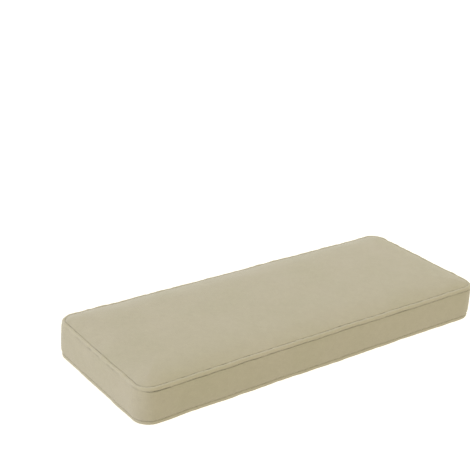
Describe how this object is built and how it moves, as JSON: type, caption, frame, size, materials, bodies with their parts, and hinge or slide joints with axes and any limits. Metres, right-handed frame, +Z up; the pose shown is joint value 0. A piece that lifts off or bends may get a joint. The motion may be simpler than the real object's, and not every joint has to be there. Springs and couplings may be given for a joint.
{
  "type": "bench cushion",
  "caption": "Box cushion for a bench: a crowned, filled body in plain khaki cloth with rounded corners, and covered piping round its upper and lower seams.",
  "frame": {"origin": "below the middle of the cushion, on the surface it rests on", "axes": "+X along the cushion's length, +Y across it towards the back of the seat, +Z up through the seat"},
  "size_m": [1.1992, 0.4592, 0.124],
  "materials": {
    "side_strip_cloth": "matt plain weave, khaki",
    "panel_cloth": "matt plain weave, khaki",
    "piping_cloth": "matt plain weave, khaki"
  },
  "bodies": {
    "root": {"cushion_body": "side_strip_cloth", "top_panel": "panel_cloth", "bottom_panel": "panel_cloth", "top_piping": "piping_cloth", "bottom_piping": "piping_cloth"}
  },
  "joints": []
}
